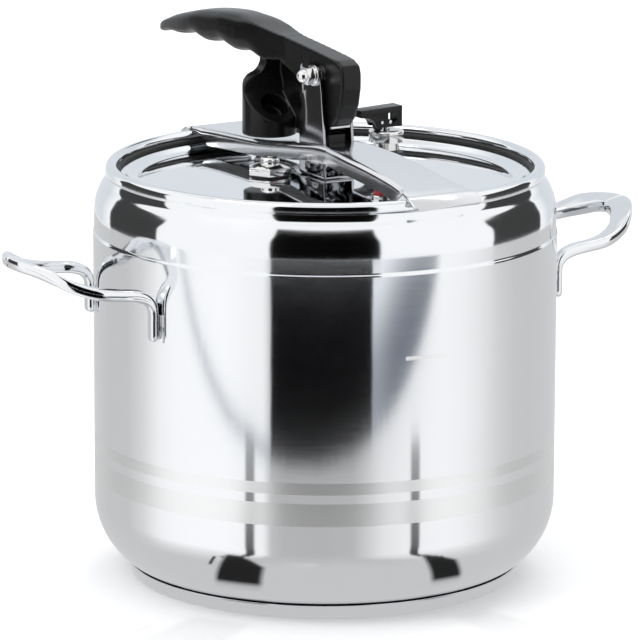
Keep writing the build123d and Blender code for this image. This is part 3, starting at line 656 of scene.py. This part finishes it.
SMALL = [
    # the fork yoke and its rivets take the yoke finish, dark steel that is a painted reflection
    ("fork_yoke", "fork", "lid", "spring_steel", "yoke", 0.28),
    ("yoke_rivets", "fork_rivets", "lid", "bright_fastener", "yoke", 0.4),
    ("yoke_doubler", "fork_doubler", "lid", "lid_steel", "bar", 0.3),
    ("pivot_screw", "pivot_bolt", "lid", "bright_fastener", "bright", 0.3),
    ("pivot_rings", "pivot_washers", "lid", "bright_fastener", "bright", 0.1),
    ("dome_nut", "acorn_nut", "lid", "bright_fastener", "bright", 0.12),
    ("relief_housing", "relief_body", "lid", "valve_steel", "valve", 0.25),
    ("relief_ring", "relief_gasket", "lid", "black_rubber", "rubber", 0.2),
    ("under_nuts", "valve_nuts", "lid", "bright_fastener", "bright", 0.4),
    ("release_lug", "fulcrum_lug", "lid", "black_phenolic", "black", 0.3),
    ("release_pin", "fulcrum_pin", "lid", "bright_fastener", "bright", 0.2),
    ("safety_housing", "safety_body", "lid", "valve_steel", "bright", 0.18),
    ("safety_ring", "safety_gasket", "lid", "black_rubber", "rubber", 0.2),
    ("plug_ring", "plug_eyelet", "lid", "valve_steel", "valve", 0.2),
    ("overpressure_plug", "burst_plug", "lid", "red_silicone", "red", 0.3),
    ("release_tab", "release_lever", "release", "black_phenolic", "black", 0.35),
    ("relief_pin", "relief_stem", "stem", "valve_steel", "bright", 0.2),
    ("safety_pin", "safety_plunger", "plunger", "valve_steel", "bright", 0.2),
    ("pad_studs", "pad_rivets", "bridge_frame", "bright_fastener", "bright", 0.3),
]


def seat(obj):
    """Lowers the underside of a ring on the lid to meet the crowned plate."""
    for v in obj.data.vertices:
        if v.co.z < (LID_TOP + 0.15) * MM:
            v.co.z -= (LID_TOP - lid_top_at(hypot(v.co.x, v.co.y) / MM)) * MM


for name, node, body, slot, finish, width in SMALL:
    piece = soften(name, node, width)
    if name in ("relief_ring", "safety_ring", "plug_ring"):
        seat(piece)
    settle(piece, body, slot, MATERIALS[finish], node)

KEPT = {"base_core": "core", "lever_bush": "bright", "relief_spring": "bright", "safety_spring": "bright"}
for node, finish in KEPT.items():
    nodes[node].data.materials.clear()
    nodes[node].data.materials.append(MATERIALS[finish])

# ------------------------------------------------------------------ studio

RIGHT = Vector((cos(VIEW_TURN), -sin(VIEW_TURN), 0.0))
TOWARDS = Vector((-sin(VIEW_TURN), -cos(VIEW_TURN), 0.0))


def white(name, value, rough=0.9, specular=0.1):
    m = Nodes(name)
    m.put(Base_Color=(value, value, value, 1.0), Roughness=rough, Specular_IOR_Level=specular)
    return m.material


def add_floor():
    half = 6000.0
    corners = [(-half, -half, -0.05), (half, -half, -0.05), (half, half, -0.05), (-half, half, -0.05)]
    floor = make_object("studio_floor", corners, [[0, 1, 2, 3]])
    floor.data.materials.append(white("floor_paint", 0.93, 0.35, 0.25))
    floor.visible_glossy = False


def glow_material(name):
    """Lights a reflector with its own painted brightness."""
    m = Nodes(name)
    m.tree.nodes.remove(m.shader)
    paint = m.add("ShaderNodeVertexColor", layer_name="glow")
    shine = m.add("ShaderNodeEmission")
    m.link(paint.outputs["Color"], shine.inputs["Color"])
    m.link(shine.outputs[0], m.tree.nodes["Material Output"].inputs["Surface"])
    return m.material


def reflector(name, points, faces, colours, material):
    """A studio reflector: only polished surfaces see it."""
    obj = make_object(name, points, faces)
    layer = obj.data.color_attributes.new("glow", "FLOAT_COLOR", "POINT")
    flat = np.ones((len(points), 4), np.float32)
    flat[:, :3] = np.array(colours)
    layer.data.foreach_set("color", flat.ravel())
    obj.data.materials.append(material)
    obj.visible_camera = False
    obj.visible_diffuse = False
    obj.visible_shadow = False
    obj.visible_transmission = False
    return obj


def grid_faces(rows, columns):
    faces = []
    for i in range(rows - 1):
        for k in range(columns):
            n = (k + 1) % columns
            faces.append([i * columns + k, i * columns + n, (i + 1) * columns + n, (i + 1) * columns + k])
    return faces


# brightness of the table by bearing round the pot: (degrees, glow)
TABLE_RAMP = [(-180, 0.70), (-134, 0.64), (-115, 0.65), (-102, 0.79), (-90, 1.04), (-80, 1.12), (-70, 1.14),
              (-50, 1.15), (-30, 1.05), (-26, 0.62), (-20, 0.55), (0, 0.54), (14, 0.56), (21, 0.72),
              (29, 0.92), (40, 1.02), (56, 1.08), (64, 1.08), (73, 1.04), (83, 0.93), (95, 0.77),
              (107, 0.68), (121, 0.66), (150, 0.67), (180, 0.70)]


def soft_step(value, width):
    """0 below nought, 1 above it, with a ramp this wide to either side."""
    return float(np.clip(0.5 + 0.5 * value / width, 0.0, 1.0))


# each dark strip on the table: its bearing, how far it reaches, and its foot's two sides
STRIPS = ((-36.9, 600.0, -34.0, -19.0), (45.5, 345.0, 34.0, 45.0))
STRIP_HALF = 2.3                   # degrees
FOOT_NEAR, FOOT_FAR = 106.0, 165.0
CORNER_GLOW = 0.66
TABLE_EDGE = 412.0                 # how far in front of the pot's axis the table ends, millimetres
TABLE_SKEW = 0.155
DARK_DOOR = (-26.4, 23.2)          # bearings of the dark gap beyond the table


def wall_bearing(right, near):
    """Which way round the pot the wall shows this place, in degrees."""
    turn = atan2(right, near)
    for _ in range(10):
        turn = atan2(right - WALL_R * sin(turn / 2), near - WALL_R * cos(turn / 2))
    return turn


def table_glow(right, near):
    """Brightness of the table and the room beyond its edge, at a place in front of the pot."""
    radius = hypot(right, near)
    clear = max(1.0, 150.0 / radius)
    bearing = wall_bearing(right * clear, near * clear)
    turn = degrees(bearing)
    bright = float(np.interp(turn, *zip(*TABLE_RAMP)))
    bright += (CORNER_GLOW - bright) * soft_step(160.0 - radius, 25.0)
    colour = np.array((bright, bright, bright))
    around = degrees(atan2(right, near))
    reach = hypot(right - WALL_R * sin(bearing / 2), near - WALL_R * cos(bearing / 2))
    beyond = near - TABLE_SKEW * right - TABLE_EDGE
    for middle, far, foot_from, foot_to in STRIPS:
        strip = soft_step(-beyond, 4.0) * soft_step(far - reach, 8.0) * soft_step(radius - 130.0, 2.0)
        strip *= soft_step(STRIP_HALF - abs(turn - middle), 0.3)
        colour = colour * (1 + (np.interp(reach, (60.0, 300.0), (0.05, 0.35)) - 1) * strip)
        taper = 0.33 * max(0.0, radius - 135.0)
        foot = soft_step(FOOT_FAR - radius, 3.0) * soft_step(radius - FOOT_NEAR, 2.0)
        foot *= soft_step(around - foot_from, 1.0) * soft_step(foot_to - taper - around, 1.0)
        colour = colour * (1 - foot) + 0.02 * foot
    if beyond > 0 and abs(turn) < 82:
        if DARK_DOOR[0] < turn < DARK_DOOR[1]:
            colour = np.array((0.002, 0.002, 0.0025)) + 0.02 * np.exp(-beyond / 40.0)
        elif turn > 0:
            sheen = np.exp(-((beyond - 330.0) / 110.0) ** 2) + 0.25 * np.exp(-((turn - 23) / 8.0) ** 2)
            colour = np.array((0.15, 0.17, 0.21)) + 0.75 * sheen
        elif beyond < 26.0:
            colour = np.array((0.26, 0.29, 0.34))
    return colour


def add_table_reflector(material):
    radii = np.concatenate([np.linspace(30, 110, 16), np.linspace(112, 150, 39), np.linspace(153, 480, 72),
                            np.linspace(490, 960, 60)])
    turns = np.radians(np.arange(0, 360, 0.6))
    points, colours = [], []
    for r in radii:
        for a in turns:
            right, near = r * sin(a), r * cos(a)
            place = RIGHT * right + TOWARDS * near
            points.append((place.x, place.y, 0.02))
            colours.append(table_glow(right, near))
    reflector("table_reflector", points, grid_faces(len(radii), len(turns)), colours, material)


GAP_HALF, GAP_TOP = 25.5, 38.0     # the dark gap in front, degrees round and degrees up
SIDE_GAP, SIDE_GAP_TOP = (86.0, 128.0), 24.0


def room_glow(turn, rise):
    """Brightness of the studio round the pot: softboxes, the gaps between them, a grey wall behind."""
    side = abs(turn)
    gap = 1.0
    if side < GAP_HALF and rise < GAP_TOP:
        gap = 0.002
    if SIDE_GAP[0] < side < SIDE_GAP[1] and rise < SIDE_GAP_TOP:
        gap = 0.05
    grey = np.clip((side - 128) / 12.0, 0, 1) * np.clip((46 - rise) / 12.0, 0, 1)
    bright = np.array((1.12, 1.12, 1.12))
    wall = np.array((0.77, 0.81, 0.85))
    colour = (bright * (1 - grey) + wall * grey) * gap
    if rise > 46:
        colour = colour * np.interp(rise, (46, 60), (1.0, 0.8))
    return colour


def add_room_reflector(material):
    radius = 1000.0
    turns = np.arange(0, 360, 1.0)
    rises = np.concatenate([np.linspace(-2, 24, 27), np.linspace(25, 70, 24)])
    points, colours = [], []
    for rise in rises:
        for a in turns:
            turn = a if a <= 180 else a - 360
            place = RIGHT * (radius * sin(radians(a))) + TOWARDS * (radius * cos(radians(a)))
            points.append((place.x, place.y, 150 + radius * np.tan(radians(rise)) if rise > -2 else -1.0))
            colours.append(room_glow(turn, rise))
    reflector("room_reflector", points, grid_faces(len(rises), len(turns)), colours, material)


def add_world():
    world = bpy.data.worlds.new("studio")
    world.use_nodes = True
    background = world.node_tree.nodes["Background"]
    background.inputs["Color"].default_value = (0.985, 0.99, 1.0, 1.0)
    background.inputs["Strength"].default_value = 1.15
    bpy.context.scene.world = world


def add_softbox(name, right, towards, height, size_m, watts):
    light = bpy.data.lights.new(name, "AREA")
    light.shape = "RECTANGLE"
    light.size, light.size_y = size_m
    light.energy = watts
    obj = bpy.data.objects.new(name, light)
    bpy.context.scene.collection.objects.link(obj)
    place = (RIGHT * right + TOWARDS * towards) * MM
    obj.location = (place.x, place.y, height * MM)
    aim = Vector((0, 0, 0.2)) - obj.location
    obj.rotation_euler = aim.to_track_quat("-Z", "Y").to_euler()
    return obj


def add_camera():
    """The photograph's viewpoint: a long lens, looking a little down."""
    pan, pitch, roll = radians(CAMERA_PAN), radians(CAMERA_PITCH), radians(CAMERA_ROLL)
    forward = Vector((sin(pan) * cos(pitch), cos(pan) * cos(pitch), -sin(pitch)))
    across = Vector((cos(pan), -sin(pan), 0.0))
    up = Vector((sin(pan) * sin(pitch), cos(pan) * sin(pitch), cos(pitch)))
    image_right = across * cos(roll) + up * sin(roll)
    image_up = up * cos(roll) - across * sin(roll)
    turn = Matrix.Rotation(-VIEW_TURN, 3, "Z")
    axes = [turn @ v for v in (image_right, image_up, -forward)]
    matrix = Matrix(axes).transposed().to_4x4()
    matrix.translation = turn @ Vector((0.0, -CAMERA_DISTANCE * MM, CAMERA_HEIGHT * MM))
    data = bpy.data.cameras.new("camera")
    data.lens = CAMERA_LENS
    data.sensor_width = 36.0
    data.clip_end = 60.0
    camera = bpy.data.objects.new("camera", data)
    camera.matrix_world = matrix
    bpy.context.scene.collection.objects.link(camera)
    bpy.context.scene.camera = camera


add_floor()
glow = glow_material("reflector_glow")
add_table_reflector(glow)
add_room_reflector(glow)
add_world()
add_softbox("key_softbox", -900.0, 500.0, 1500.0, (0.9, 0.9), 9.0)
add_softbox("back_softbox", 500.0, -1100.0, 1300.0, (1.2, 0.8), 9.0)
add_camera()
bpy.context.scene.view_settings.view_transform = "Standard"
